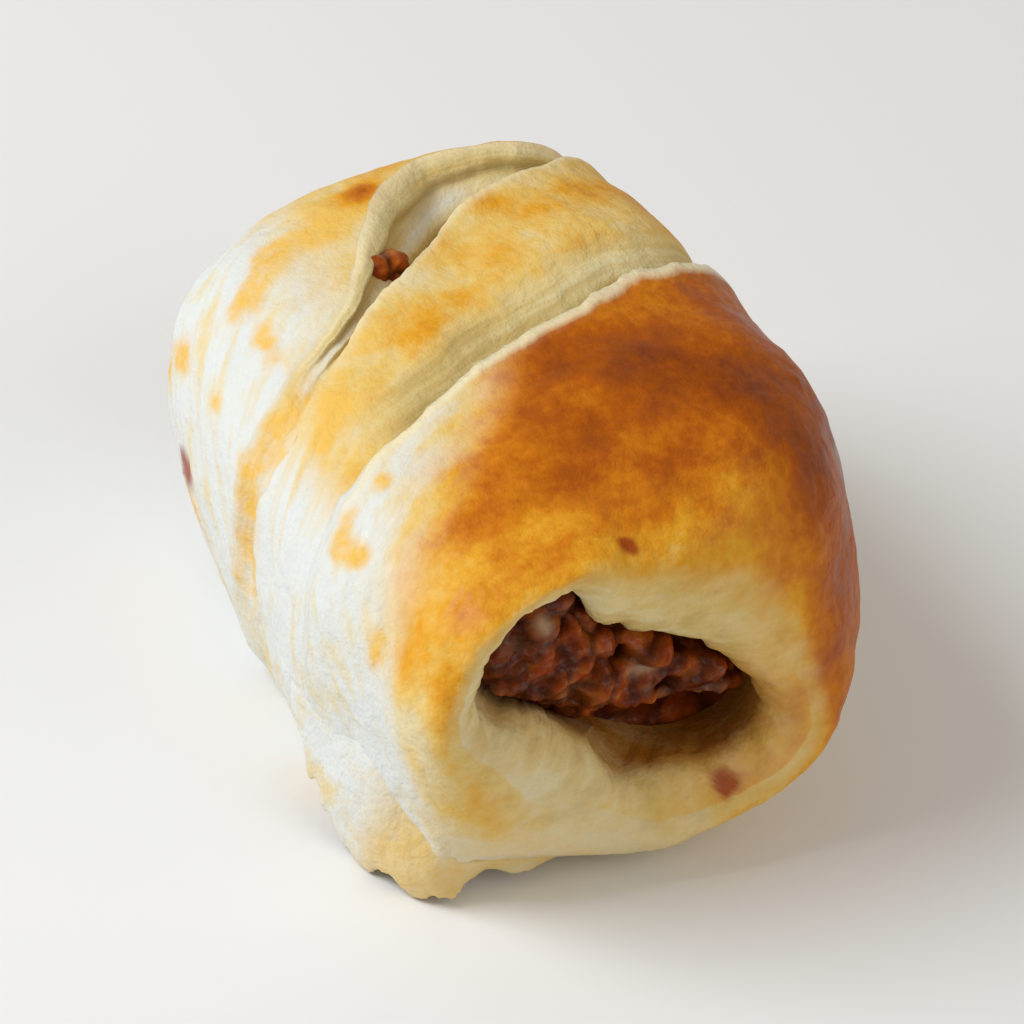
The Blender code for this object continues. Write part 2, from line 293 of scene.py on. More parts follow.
def mouth_point(degrees, y, shrink=0.0):
    """A point on the passage, which runs from a plain oval into the torn edge of the front opening."""
    along = (y + LENGTH / 2) / LENGTH
    ends = zip(FRONT_MOUTH, REAR_MOUTH)
    width, height, lean, across, up = (mix(front, rear, along) for front, rear in ends)
    angle = math.radians(degrees)
    radius = superellipse_radius(angle + math.radians(lean), width - shrink, height - shrink, MOUTH_POWER)
    oval = Vector((across + radius * math.cos(angle), y, up + radius * math.sin(angle)))
    torn = ease(*TORN_FROM, y)
    if torn == 0:
        return oval
    radius = smooth_line(MOUTH_EDGE, degrees % 360) / 1000 - shrink
    radius += 0.0004 * wobble(degrees, 9, 4.7) + 0.0003 * wobble(degrees, 25, 9.1)
    across, up = MOUTH_MIDDLE
    edge = Vector((across + radius * math.cos(angle), y, up + radius * math.sin(angle)))
    return oval.lerp(edge, torn)


def settled(point):
    ahead, skew = (-point.y, FRONT_SKEW) if point.y < 0 else (point.y, REAR_SKEW)
    z = pressed_flat(point.z)
    shift = skew[0] * point.x + skew[1] * (z - AXIS_HEIGHT)
    return Vector((point.x, point.y + shift * ahead / (LENGTH / 2), z))


def profile(along):
    powers = FRONT_POWERS if along < 0 else REAR_POWERS
    alpha = math.radians(along)
    y = math.copysign(LENGTH / 2 * abs(math.sin(alpha)) ** powers[0], alpha)
    return y, NOSE_SHARE + (1 - NOSE_SHARE) * abs(math.cos(alpha)) ** powers[1]


def tail(degrees, along):
    off_round = (degrees - TAIL_PLACE[0]) / TAIL_SPREAD[0]
    off_along = (along - TAIL_PLACE[1]) / TAIL_SPREAD[1]
    return math.exp(-(off_round**2) - off_along**2)


def outside(degrees, along, depth=0.0, forward=0.0):
    y, share = profile(along)
    torn = tail(degrees, along)
    point = mouth_point(degrees, y).lerp(outer_point(degrees, y, depth - TAIL_OUT * torn), share)
    point = settled(point)
    point.y -= forward + TAIL_FORWARD * torn
    return point


def wobble(degrees, size, seed):
    """A small unevenness that closes on itself round the roll."""
    angle = math.radians(degrees)
    return noise.noise(Vector((math.cos(angle) * size, math.sin(angle) * size, seed)))


def lines_at(degrees):
    """Where the torn edges run at one angle round the roll, with their small unevenness."""
    slash = smooth_line(SLASH_LINE, degrees) + 0.9 * wobble(degrees, 9, 3.1)
    slash += 0.5 * wobble(degrees, 26, 5.7)
    near = smooth_line(GASH_NEAR, degrees) + 1.0 * wobble(degrees, 7, 8.3) + 0.6 * wobble(degrees, 24, 1.9)
    far = smooth_line(GASH_FAR, degrees) + 1.6 * wobble(degrees, 8, 6.6) + 0.8 * wobble(degrees, 22, 2.4)
    return slash, near, max(far, near + 4)


def ring_point(degrees, stretch, t, lines):
    """(point, along) of the smooth wrap at one angle, on one ring."""
    slash, near, far = lines
    slash_depth = max(0.0, smooth_line(SLASH_DEPTH, degrees))
    gash_depth = max(0.0, smooth_line(GASH_DEPTH, degrees))
    slash_share = slash_depth / SLASH_DEEPEST
    gash_share = gash_depth / GASH_DEEPEST
    if stretch == "front":
        along = mix(-90, slash, t)
        lifted = SLASH_LIFT * slash_share * hump(along, slash, LIFT_SPAN)
        return outside(degrees, along, -lifted), along
    if stretch == "slash wall":
        lifted = SLASH_LIFT * slash_share
        along = slash + LIP_SPAN * t
        depth = mix(-lifted, slash_depth, t)
        return outside(degrees, along, depth, SLASH_UNDERCUT * slash_share * t), along
    if stretch == "band":
        along = mix(slash + LIP_SPAN, near, t)
        opened = max(0.0, 1 - (along - slash) / OPENED_SPAN) ** 1.5
        lifted = GASH_LIFT * gash_share * hump(along, near, LIFT_SPAN)
        slipped = SLASH_UNDERCUT * slash_share * max(0.0, 1 - t * 4)
        return outside(degrees, along, slash_depth * opened - lifted, slipped), along
    if stretch == "gash wall":
        lifted = GASH_LIFT * gash_share
        along = near + LIP_SPAN * t
        return outside(degrees, along, mix(-lifted, gash_depth, t), GASH_UNDERCUT * gash_share * t), along
    if stretch == "gash face":
        along = mix(near + LIP_SPAN, far, t)
        slipped = GASH_UNDERCUT * gash_share * (1 - t)
        return outside(degrees, along, gash_depth * (1 - t**1.4), slipped), along
    if stretch == "rear":
        along = mix(far, 90, t)
        return outside(degrees, along), along
    if stretch in ("rear lip", "front lip"):
        end = 1 if stretch == "rear lip" else -1
        turn = math.pi / 2 * t
        y = end * (LENGTH / 2 - LIP_DEPTH * (1 - math.cos(turn)))
        share = NOSE_SHARE * (1 - math.sin(turn))
        return settled(mouth_point(degrees, y).lerp(outer_point(degrees, y, 0), share)), end * (90 + 90 * t)
    reach = LENGTH / 2 - LIP_DEPTH
    return settled(mouth_point(degrees, mix(reach, -reach, t))), 180


def patched(patches, degrees, along):
    total = 0.0
    for middle, middle_along, spread, spread_along, amount in patches:
        total += amount * hump_round(degrees, middle, spread) * hump(along, middle_along, spread_along)
    return total


def baked(degrees, along, stretch):
    """How brown the crust is there, from 0, pale dough, to 1, deep brown."""
    if stretch in ("front", "slash wall"):
        round_left = degrees if degrees > -70 else degrees + 360
        border = smooth_line(BROWN_BORDER, along)
        soft = mix(22, 19, ease(-45, -60, along))
        inside = ease(border + soft, border - soft, round_left)
        behind = ease(-62, -30, along)
        inside *= ease(mix(-75, -56, behind), mix(-15, 20, behind), degrees)
        level = smooth_line(FRONT_LEVEL, along) + patched(FRONT_PATCHES, degrees, along)
        merged = ease(-34, smooth_line(SLASH_LINE, degrees), along) * ease(28, 2, degrees)
        return mix(level * inside, 0.25 * ease(-60, 10, degrees), merged)
    if stretch == "band":
        gold = 0.14 * ease(172, 150, degrees) * ease(-60, 0, degrees)
        gold += 0.10 * ease(56, 20, degrees) * ease(-60, 10, degrees)
        return gold + patched(BAND_PATCHES, degrees, along) * ease(-20, 20, degrees)
    if stretch in ("rear", "gash wall", "gash face"):
        top = 0.10 * ease(156, 120, degrees) * ease(-60, 10, degrees)
        right = 0.16 * ease(70, 20, degrees) * ease(-60, 0, degrees)
        valley = 0.06 * ease(144, 154, degrees) * ease(212, 192, degrees) if stretch != "rear" else 0.0
        return top + right + valley + patched(REAR_PATCHES, degrees, along)
    return 0.10 + 0.28 * hump_round(degrees, -20, 36)


def pale_and_sheen_at(degrees, along, stretch):
    """How white the pale, shiny flank is there: the dough's own pale colour under a painted cool sheen."""
    right = ease(262, 226, degrees)
    if stretch == "band":
        return right * ease(150, 164, degrees)
    if stretch in ("front", "slash wall"):
        border = smooth_line(BROWN_BORDER, along)
        return right * ease(border - 14, border + 26, degrees)
    if stretch == "rear":
        return right * ease(126, 150, degrees)
    return 0.75 * right * ease(150, 170, degrees)


def flecked(p, degrees, along, valley):
    """Ragged golden flecks: patches with a torn outline."""
    total = sum(
        hump_round(degrees, middle, spread) * hump(along, middle_along, spread_along)
        for middle, middle_along, spread, spread_along in FLECKS
    )
    ragged = 0.42 * noise.noise(p * 380) + 0.34 * noise.noise(p * 900)
    return ease(0.10, 0.95, min(1.0, total + valley) + ragged * ease(0.02, 0.3, total + valley))


def spotted(p):
    """How dark a cooked-in spot is at a point of the crust."""
    ragged = 0.5 * noise.noise(p * 900)
    place = p + Vector((*MIDDLE, 0))
    return max(ease(1.5, 0.6, (place - Vector(spot)).length / radius + ragged) for *spot, radius in SPOTS)


def clear_selection():
    for obj in bpy.context.selected_objects:
        obj.select_set(False)


def take(name):
    """The piece just added, renamed."""
    piece = bpy.context.object
    piece.name = name
    piece.data.name = name
    return piece


def apply_modifier(piece, modifier):
    bpy.context.view_layer.objects.active = piece
    bpy.ops.object.modifier_apply(modifier=modifier.name)


def point_masks(piece, masks):
    """Stores each named list of values as a mask on the piece's points."""
    for name, values in masks.items():
        layer = piece.data.attributes.new(name, "FLOAT", "POINT")
        layer.data.foreach_set("value", values)


def grain_directions(piece, values):
    layer = piece.data.attributes.new("grain", "FLOAT_VECTOR", "POINT")
    layer.data.foreach_set("vector", [number for value in values for number in value])


def pulled(p):
    """A point's places across and along the way the dough is pulled on the left flank."""
    forth, up = PULL
    return up * p.y - forth * p.z, forth * p.y + up * p.z


def leaf_steps(x):
    """A run of thin overlapping leaves: each rises slowly and ends in a short drop."""
    x -= math.floor(x)
    return x / 0.82 if x < 0.82 else (1 - x) / 0.18


def relief_layer(p, layer, aside=(0, 0, 0)):
    """Height of one layer of soft lumps at a point."""
    often, high = layer
    return high * noise.noise(p * often + Vector(aside))


def crust_relief(p, brown, flank):
    """Height of the crust's lumps, blisters and wrinkles at a point, in metres."""
    height = relief_layer(p, CRUST_LUMPS) + relief_layer(p, CRUST_DIMPLES, (7, 3, 1))
    blister = max(0.0, 0.50 - noise.voronoi(p * CRUST_BLISTERS[0])[0][0])
    blister *= blister * ease(0.3, 0.7, brown) * ease(-0.2, 0.3, noise.noise(p * 160))
    height += CRUST_BLISTERS[1] * blister
    often, high = CRUST_WRINKLES
    height += high * (1 - abs(noise.noise(p * Vector(often)))) * mix(0.6, 1.0, brown)
    height += relief_layer(p, CRUST_GRAIN, (9, 2, 2)) * mix(0.5, 1.0, brown)
    across, along = pulled(p)
    streak = Vector((along * 80, across * 560, p.x * 160))
    height += flank * sum(relief_layer(streak, layer) for layer in FLANK_STREAKS)
    span, high = FLANK_LEAVES
    leaves = leaf_steps(across / span + 0.9 * noise.noise(Vector((along * 60, across * 80, 4.2))))
    return height + flank * high * leaves * ease(-0.2, 0.4, noise.noise(p * 120 + Vector((2, 9, 4))))


def gash_layers(t, degrees):
    """Height of the three thick leaves that the gash lays open, from its near foot to its far edge."""
    place = t + 0.035 * wobble(degrees, 5, 2.2)
    height = 0.00060 * ease(0.30, 0.38, place) + 0.00075 * ease(0.66, 0.74, place)
    return height - 0.00090 * place


def torn_places(degrees, along, stretch, t, lines):
    """How far each place is laid open: shares of torn leaf, pale rim, painted shade in the creases, white
    leaf and juice.
    """
    slash, near = lines[:2]
    gash = max(0.0, smooth_line(GASH_DEPTH, degrees)) / GASH_DEEPEST
    cut = max(0.0, smooth_line(SLASH_DEPTH, degrees)) / SLASH_DEEPEST
    leaf, rim, crease_shade, white_leaf, soak = 0.0, 0.0, 0.0, 0.0, 0.0
    if stretch == "front":
        rim = ease(0.0, 0.25, cut) * ease(slash - 2.3, slash - 0.5, along)
        rim += 0.6 * hump(along, slash, 2) * (1 - cut)
        rim *= ease(-20, 30, degrees) * ease(165, 150, degrees)
        leaf = 0.45 * ease(-82, -90, along)
    elif stretch == "slash wall":
        leaf = ease(0.0, 0.2, cut) * ease(0.0, 0.3, t) * ease(156, 142, degrees)
        rim = ease(0.0, 0.3, cut) * ease(0.6, 0.0, t)
        # Painted shade down the foot of the slash wall.
        crease_shade = ease(0.1, 0.5, cut) * ease(0.45, 1.0, t)
    elif stretch == "band":
        leaf = ease(0.05, 0.5, cut) * ease(12, 7, along - slash + 1.2 * wobble(degrees, 10, 4.4))
        rim = 0.70 * ease(0.05, 0.3, gash) * hump(along, near, 1.8)
        off = along - slash - LIP_SPAN + 0.8 * wobble(degrees, 14, 7.4)
        # Painted shade: a dark band on the band just under the front lobe's lip.
        crease_shade = ease(0.1, 0.5, cut) * (0.55 * ease(2.2, 0.2, off) + 0.40 * ease(7.5, 1.0, off))
    elif stretch == "gash wall":
        leaf = ease(0.0, 0.2, gash) * ease(0.0, 0.3, t) * ease(156, 142, degrees)
        rim = ease(0.0, 0.3, gash) * ease(0.6, 0.0, t)
        # Painted shade down the foot of the gash wall.
        crease_shade = ease(0.1, 0.5, gash) * ease(0.45, 1.0, t)
    elif stretch == "gash face":
        leaf = ease(0.0, 0.25, gash) * ease(1.0, 0.90, t) * ease(152, 138, degrees)
        rim = 0.8 * ease(0.1, 0.3, gash) * hump(t, 1.0, 0.10)
        step = t + 0.035 * wobble(degrees, 5, 2.2)
        steps = 0.7 * hump(step, 0.31, 0.035) + 0.6 * hump(step, 0.67, 0.035)
        # Painted shade: dark at the gash's foot and in dark lines between its leaves.
        crease_shade = gash * (0.9 * hump(step, 0.0, 0.06) + steps)
        white_leaf = 0.85 * hump(step, 0.50, 0.15) * ease(60, 80, degrees)
    elif stretch in ("front lip", "rear lip"):
        leaf = (0.45 + 0.35 * ease(0.0, 0.5, t)) * (1 - 0.5 * hump_round(degrees, -20, 34))
        soak = ease(0.62, 1.0, t) * (0.30 + 0.70 * hump_round(degrees, 305, 40))
    elif stretch == "passage":
        leaf, soak = 0.5, 0.9
    return leaf, rim, crease_shade, white_leaf, soak


def leaf_height(p, height, degrees, along, stretch, t, lines, leaf):
    """The crust's height at a point, changed where the dough is torn into leaves."""
    slash = lines[0]
    if stretch == "front":
        cut = max(0.0, smooth_line(SLASH_DEPTH, degrees)) / SLASH_DEEPEST
        height += 0.00025 * noise.noise(p * 420) * ease(-82, -90, along)
        return height + 0.00022 * ease(slash - 4, slash, along) * min(1.0, cut)
    if stretch in ("gash wall", "slash wall"):
        return height * (1 - 0.6 * leaf)
    if stretch == "gash face":
        return mix(height, gash_layers(t, degrees) + 0.00010 * noise.noise(p * 500), leaf)
    if stretch == "band":
        streak = Vector((degrees / 30, layer_at(stretch, t, along, slash) * 5, 1.7))
        return mix(height, 0.00012 * noise.noise(streak), leaf)
    if stretch in ("front lip", "rear lip"):
        return height + 0.00025 * t * noise.noise(p * 600) + 0.00030 * noise.noise(p * 330)
    return height


def layer_at(stretch, t, along, slash):
    """How many leaves deep a torn place lies, counted across its stretch."""
    if stretch == "band":
        return (along - slash) / 6.0
    return {"gash face": 2.4, "gash wall": 3.0, "slash wall": 3.0}[stretch] * t


def grain_at(p, degrees, along, stretch, t, slash):
    """Where a point lies in the dough's grain: along the torn leaves, or along the pull of the flank."""
    if stretch in ("gash face", "gash wall", "slash wall", "band"):
        return degrees * 0.02, layer_at(stretch, t, along, slash) * 2.6, 0.0
    across, forth = pulled(p)
    return forth * 120, across * 620, p.x * 200


def draw_out(wrap):
    """Moves the torus's points to the rings of the wrap, and says where on the roll each one is."""
    places = []
    points = iter(wrap.data.vertices)
    for segment in range(SEGMENTS):
        degrees = segment * 360 / ROUND - 90
        lines = lines_at(degrees)
        for stretch, t in RINGS:
            point, along = ring_point(degrees, stretch, t, lines)
            next(points).co = (point.x - MIDDLE[0], point.y - MIDDLE[1], point.z)
            places.append((degrees, along, stretch, t, lines))
    bpy.ops.object.mode_set(mode="EDIT")
    bpy.ops.mesh.select_all(action="SELECT")
    bpy.ops.mesh.normals_make_consistent(inside=False)
    bpy.ops.object.mode_set(mode="OBJECT")
    return places


def make_wrap():
    """The pastry: a torus whose tube is drawn out into the wall's section, then puffed and flaked."""
    clear_selection()
    bpy.ops.mesh.primitive_torus_add(
        major_segments=SEGMENTS, minor_segments=len(RINGS), major_radius=0.020, minor_radius=0.005
    )
    wrap = take("baked_wrap")
    places = draw_out(wrap)
    masks = {name: [] for name in ("bake", "pale_and_sheen", "leaf", "rim", "soak", "spot", "fleck", "crease_shade")}
    grain = []
    normals = [vertex.normal.copy() for vertex in wrap.data.vertices]
    for vertex, normal, (degrees, along, stretch, t, lines) in zip(wrap.data.vertices, normals, places):
        p = vertex.co.copy()
        brown = baked(degrees, along, stretch)
        leaf, rim, crease_shade, white_leaf, soak = torn_places(degrees, along, stretch, t, lines)
        height = crust_relief(p, brown, ease(128, 150, degrees) * ease(260, 235, degrees))
        height = leaf_height(p, height, degrees, along, stretch, t, lines, leaf)
        torn = hump(degrees, 222, 9) * hump(along, -56, 9) if stretch == "front" else 0.0
        if torn > 0.02:
            height += torn * (0.0003 * noise.noise(p * 520) + 0.0003 * noise.noise(p * 1100))
        if p.z < 0.0012:
            height = max(height, 0.0) * ease(0.0002, 0.0012, p.z)
        vertex.co = p + normal * height
        valley = 0.75 * ease(144, 154, degrees) * ease(210, 186, degrees) * hump(along, lines[2] - 2, 4)
        # The flank's white: pale dough with a painted cool sheen.
        white = pale_and_sheen_at(degrees, along, stretch)
        white *= 1 - 0.85 * hump_round(degrees, 226, 18) * hump(along, -60, 10)
        masks["bake"].append(brown)
        masks["pale_and_sheen"].append(max(white * (1 - leaf), white_leaf))
        masks["leaf"].append(leaf * (1 - white_leaf))
        masks["crease_shade"].append(crease_shade)
        masks["rim"].append(rim)
        masks["soak"].append(soak)
        masks["spot"].append(spotted(p) * (1 - soak))
        masks["fleck"].append(flecked(p, degrees, along, valley) * (1 - leaf))
        grain.append(grain_at(p, degrees, along, stretch, t, lines[0]))
    point_masks(wrap, masks)
    grain_directions(wrap, grain)
    bpy.ops.object.shade_smooth()
    return wrap


def lumps_at(x, z, lumps):
    """Added height of round lumps at a place on the meat's end, all in millimetres."""
    total = 0.0
    for middle_x, middle_z, radius, lift in lumps:
        off = math.hypot(x - middle_x, z - middle_z) / radius
        total = max(total, lift * (1 - off**2) if off < 1 else 0.0)
    return total


def fill_passage(meat):
    """Draws the ball's points out along the passage, with a hollow low at the front."""
    reach = LENGTH / 2 - MEAT_SHORT
    for vertex in meat.data.vertices:
        x, y, z = vertex.co
        along = reach * math.copysign(abs(z) ** 0.18, z)
        middle = mouth_point(0, along).lerp(mouth_point(180, along), 0.5)
        middle = middle.lerp(Vector((MOUTH_MIDDLE[0], along, MOUTH_MIDDLE[1])), ease(*TORN_FROM, along))
        edge = mouth_point(math.degrees(math.atan2(y, x)), along, -MEAT_PRESS)
        place = settled(middle.lerp(edge, math.hypot(x, y) ** 0.5))
        low = ease(0.0170, 0.0145, place.z + 0.18 * place.x) * ease(-0.006, -0.002, place.x)
        place.y += ease(-0.020, -0.026, along) * (0.0004 + 0.0048 * low)
        vertex.co = place - Vector((*MIDDLE, 0))


def wedge_lump(meat):
    """Adds the lump of meat that is wedged in the gash."""
    bpy.ops.mesh.primitive_ico_sphere_add(subdivisions=4, radius=0.001, location=GASH_MEAT)
    wedged = bpy.context.object
    wedged.scale = GASH_MEAT_SIZE
    wedged.location -= Vector((*MIDDLE, 0))
    bpy.ops.object.transform_apply(location=True, rotation=False, scale=True)
    meat.select_set(True)
    bpy.context.view_layer.objects.active = meat
    bpy.ops.object.join()


def remesh(piece, voxel):
    """Fuses a piece into one even skin."""
    fused = piece.modifiers.new("fused", "REMESH")
    fused.mode = "VOXEL"
    fused.voxel_size = voxel
    apply_modifier(piece, fused)


def mince_relief(p):
    """Height of the coarse mince at a point, and how deep in a hollow it lies, which sets the painted shade
    there.
    """
    warp = Vector((noise.noise(p * 420), noise.noise(p * 420 + Vector((5, 5, 5))), 0))
    warped = p + 0.0008 * warp
    coarse = noise.voronoi(warped * 330)[0]
    fine = noise.voronoi(warped * 800 + Vector((3, 1, 2)))[0]
    lump = min(1.0, (coarse[1] - coarse[0]) * 1.8)
    crumb = min(1.0, (fine[1] - fine[0]) * 2.0)
    swell = noise.noise(p * 230 + Vector((1, 8, 3)))
    height = 0.0007 * lump + 0.00022 * crumb + 0.0006 * swell - 0.0005
    return height, 0.75 * (1 - min(1.0, lump * 1.4)) + 0.25 * (1 - crumb)


def fat_at(p):
    """How much pale fat shows: faint patches all over, one streak and one speck on the front end."""
    front = ease(-0.020, -0.024, p.y)
    x, z = p.x * 1000, p.z * 1000
    patch = 0.12 * ease(0.34, 0.50, noise.noise(p * 420 + Vector((4, 4, 9))))
    streak = 0.8 * hump(x, -0.5, 1.5) * hump(z, 19.9, 0.45) * front
    return max(patch, streak, hump(x, -11.5, 0.7) * hump(z, 26.6, 0.6) * front)


def make_meat():
    """The meat: a ball drawn out to fill the passage, remeshed evenly, then broken up into coarse mince."""
    clear_selection()
    bpy.ops.mesh.primitive_uv_sphere_add(segments=120, ring_count=90, radius=1)
    meat = take("minced_meat")
    fill_passage(meat)
    wedge_lump(meat)
    remesh(meat, MEAT_VOXEL)
    pit_shades, fats = [], []
    normals = [vertex.normal.copy() for vertex in meat.data.vertices]
    for vertex, normal in zip(meat.data.vertices, normals):
        p = vertex.co.copy()
        height, pit_shade = mince_relief(p)
        height *= max(ease(0.019, 0.024, abs(p.y)), ease(0.026, 0.028, p.z) * ease(0.0, 0.008, p.y))
        if p.y < -0.015:
            facing = ease(0.2, 0.7, -normal.y)
            x, z = (p.x + MIDDLE[0]) * 1000, p.z * 1000
            deep = lumps_at(x, z, MEAT_PITS)
            height += facing * (lumps_at(x, z, MEAT_LUMPS) - deep) / 1000
            # Painted shade in the front end's deeper hollows.
            pit_shade = max(pit_shade, facing * ease(0.2, 1.2, deep))
        vertex.co = p + normal * height
        pit_shades.append(pit_shade)
        fats.append(fat_at(p))
    point_masks(meat, {"pit_shade": pit_shades, "fat": fats})
    bpy.ops.object.shade_smooth()
    return meat


def sheet_point(across, forth, columns):
    """A point of the torn sheet: across its rows, and forth from inside the wrap to the ragged edge."""
    degrees, along, *edge = (smooth_line(column, across) for column in columns)
    root = outside(degrees, along, 0.0010) - Vector((*MIDDLE, 0))
    ragged = 1 + 0.16 * noise.noise(Vector((across * 1.7, 0.7, 0.5)))
    ragged += 0.07 * noise.noise(Vector((across * 4.3, 0.2, 2.5)))
    away = Vector((root.x, 0, root.z - AXIS_HEIGHT)).normalized()
    place = root.lerp(Vector(edge) / 1000, forth * ragged)
    bulge = math.sin(math.pi * min(1.0, forth)) * ease(1.0, 4.0, across) * ease(8.0, 6.0, across)
    place += away * (SHEET_BULGE * bulge)
    place += away * 0.0003 * noise.noise(place * 260)
    place.z = max(place.z, SHEET_LOWEST)
    return place


def make_torn_seam():
    """The torn end of the seam: one thin ragged sheet of dough that runs off the front's lower left."""
    clear_selection()
    bpy.ops.mesh.primitive_grid_add(x_subdivisions=110, y_subdivisions=24, size=1)
    sheet = take("torn_seam")
    columns = [[(index, row[column]) for index, row in enumerate(SHEET)] for column in range(len(SHEET[0]))]
    for vertex in sheet.data.vertices:
        vertex.co = sheet_point((vertex.co.x + 0.5) * (len(SHEET) - 1), vertex.co.y + 0.5, columns)
    thick = sheet.modifiers.new("thick", "SOLIDIFY")
    thick.thickness = SHEET_THICK
    thick.offset = 0
    apply_modifier(sheet, thick)
    remesh(sheet, SHEET_VOXEL)
    softened = sheet.modifiers.new("softened", "SMOOTH")
    softened.factor = 0.5
    softened.iterations = 3
    apply_modifier(sheet, softened)
    fronts = [ease(-0.020, -0.027, v.co.y + 0.2 * (v.co.z - 0.004)) for v in sheet.data.vertices]
    bakes = [0.05 + 0.07 * front for front in fronts]
    # The sheet takes the same white: pale dough with a painted cool sheen.
    pale_and_sheen_shares = [1.0 - 0.85 * front for front in fronts]
    point_masks(sheet, {"bake": bakes, "pale_and_sheen": pale_and_sheen_shares})
    grain_directions(sheet, [vertex.co * 250 for vertex in sheet.data.vertices])
    bpy.ops.object.shade_smooth()
    return sheet


def node_tree(name):
    """A new material with its Principled shader, ready for its nodes."""
    made = bpy.data.materials.new(name)
    made.use_nodes = True
    return made, made.node_tree, made.node_tree.nodes["Principled BSDF"]


def add(tree, kind, **settings):
    made = tree.nodes.new(kind)
    for name, value in settings.items():
        setattr(made, name, value)
    return made


def mask(tree, name):
    return add(tree, "ShaderNodeAttribute", attribute_name=name).outputs["Fac"]


def math_node(tree, operation, first, second, clamp=False):
    made = add(tree, "ShaderNodeMath", operation=operation, use_clamp=clamp)
    for socket, value in zip(made.inputs, (first, second)):
        if isinstance(value, (int, float)):
            socket.default_value = value
        else:
            tree.links.new(value, socket)
    return made.outputs[0]


def times(tree, first, second, clamp=False):
    return math_node(tree, "MULTIPLY", first, second, clamp)


def plus(tree, first, second):
    return math_node(tree, "ADD", first, second)


def minus(tree, first, second):
    return math_node(tree, "SUBTRACT", first, second)


def bumped(tree, shader, height, strength, distance):
    """Gives the shader a fine relief by its normals."""
    bump = add(tree, "ShaderNodeBump")
    bump.inputs["Strength"].default_value = strength
    bump.inputs["Distance"].default_value = distance
    tree.links.new(height, bump.inputs["Height"])
    tree.links.new(bump.outputs[0], shader.inputs["Normal"])


def blend_colours(tree, share, first, second):
    made = add(tree, "ShaderNodeMix", data_type="RGBA")
    for socket, value in ((made.inputs[0], share), (made.inputs[6], first), (made.inputs[7], second)):
        if isinstance(value, tuple):
            socket.default_value = (*value, 1)
        elif isinstance(value, (int, float)):
            socket.default_value = value
        else:
            tree.links.new(value, socket)
    return made.outputs[2]


def noise_value(tree, vector, scale, detail=3.0, roughness=0.55, distortion=0.0):
    made = add(tree, "ShaderNodeTexNoise")
    tree.links.new(vector, made.inputs["Vector"])
    made.inputs["Scale"].default_value = scale
    made.inputs["Detail"].default_value = detail
    made.inputs["Roughness"].default_value = roughness
    made.inputs["Distortion"].default_value = distortion
    return made.outputs[0]


def colour_steps(tree, value, steps):
    ramp = add(tree, "ShaderNodeValToRGB")
    tree.links.new(value, ramp.inputs[0])
    while len(ramp.color_ramp.elements) < len(steps):
        ramp.color_ramp.elements.new(0.5)
    for element, (place, colour) in zip(ramp.color_ramp.elements, steps):
        element.position = place
        element.color = (*colour, 1)
    return ramp.outputs[0]


def crust_colour(tree, mottle, speckle, streak, finer):
    """The crust: coloured by its bake, white in streaks where the flank is pale, that white being pale
    dough with a painted cool sheen, and flecked with gold.
    """
    uneven = minus(tree, times(tree, mottle, 0.56), 0.28)
    crust = colour_steps(tree, plus(tree, plus(tree, mask(tree, "bake"), uneven), finer), CRUST_COLOURS)
    patchy = plus(tree, times(tree, streak, 0.6), times(tree, mottle, 0.4))
    # Painted sheen: streaks of cool white over the flank's pale dough.
    white = times(tree, minus(tree, patchy, 0.36), 6.0, clamp=True)
    crust = blend_colours(tree, times(tree, white, mask(tree, "pale_and_sheen")), crust, FLANK_WHITE_AND_SHEEN)
    fleck = times(tree, mask(tree, "fleck"), plus(tree, speckle, 0.42), clamp=True)
    return blend_colours(tree, fleck, crust, FLECK_GOLD)


def torn_colour(tree, surface, mottle, streak):
    """The torn places over the crust: bare leaves, painted shade in the creases, pale rims, soaked-in juice
    and dark spots.
    """
    surface = blend_colours(tree, mask(tree, "leaf"), surface, colour_steps(tree, streak, LEAF_COLOURS))
    # Painted shade in the creases, laid over the colour.
    surface = blend_colours(tree, times(tree, mask(tree, "crease_shade"), 0.75), surface, CREASE_SHADE)
    surface = blend_colours(tree, mask(tree, "rim"), surface, RIM_CREAM)
    soaked = times(tree, mask(tree, "soak"), plus(tree, mottle, 0.40), clamp=True)
    surface = blend_colours(tree, soaked, surface, SOAKED_BROWN)
    return blend_colours(tree, times(tree, mask(tree, "spot"), 0.9), surface, SPOT_RED)


def pastry_finish():
    """Egg-washed puff pastry: cream, gold, orange and brown by its bake, white and shiny on the flank,
    where the white is pale dough with a painted cool sheen.
    """
    made, tree, shader = node_tree("baked_pastry")
    objects = add(tree, "ShaderNodeTexCoord").outputs["Object"]
    grain = add(tree, "ShaderNodeAttribute", attribute_name="grain").outputs["Vector"]
    mottle = noise_value(tree, objects, 190, 4.0, 0.6)
    speckle = noise_value(tree, objects, 900, 3.0, 0.6)
    pores = noise_value(tree, objects, 480, 3.0, 0.6, 0.6)
    streak = noise_value(tree, grain, 1.0, 3.0, 0.55)
    finer = minus(tree, times(tree, speckle, 0.20), 0.10)
    surface = torn_colour(tree, crust_colour(tree, mottle, speckle, streak, finer), mottle, streak)
    tree.links.new(surface, shader.inputs["Base Color"])
    rough = minus(tree, 0.55, times(tree, mask(tree, "bake"), 0.18))
    tree.links.new(plus(tree, rough, times(tree, finer, 0.8)), shader.inputs["Roughness"])
    shader.inputs["Specular IOR Level"].default_value = 0.10
    shader.inputs["Coat Roughness"].default_value = 0.15
    wash = times(tree, minus(tree, mottle, 0.42), 2.0, clamp=True)
    glazed = plus(tree, mask(tree, "bake"), times(tree, mask(tree, "pale_and_sheen"), 1.2))
    tree.links.new(times(tree, wash, glazed), shader.inputs["Coat Weight"])
    height = plus(tree, speckle, times(tree, streak, 0.25))
    bumped(tree, shader, plus(tree, height, times(tree, pores, 0.7)), 0.5, 0.0005)
    return made


